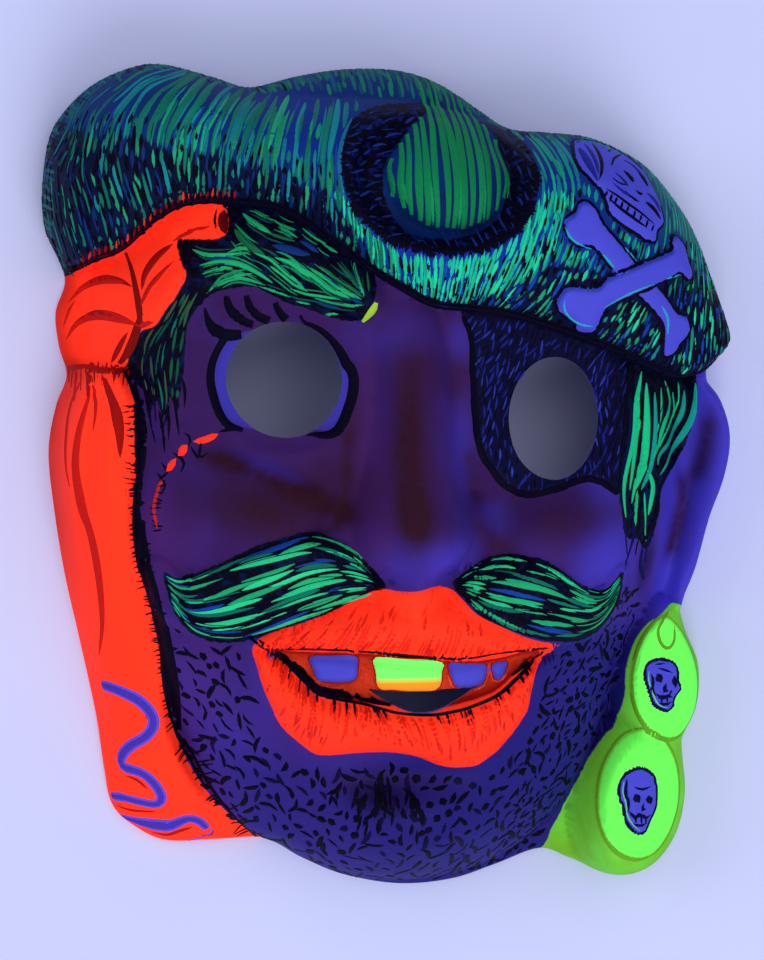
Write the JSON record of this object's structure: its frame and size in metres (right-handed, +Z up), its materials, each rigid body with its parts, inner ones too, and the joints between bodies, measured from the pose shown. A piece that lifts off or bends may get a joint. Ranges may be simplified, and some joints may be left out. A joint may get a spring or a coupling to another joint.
{
  "type": "pirate mask",
  "caption": "Costume face mask of a grinning pirate, moulded as one thin hollow shell with two eye holes and a mouth slit; it lies face up on its rim.",
  "frame": {"origin": "centre of the bounding box at the level of the rim that the mask lies on", "axes": "+Y from the chin towards the top of the hat, +Z up out of the face towards the tip of the nose, +X to the right as the mask is looked at from the front"},
  "size_m": [0.1976, 0.2392, 0.0785],
  "materials": {
    "painted_plastic": "satin paint"
  },
  "bodies": {
    "root": {"mask_shell": "painted_plastic"}
  },
  "joints": []
}
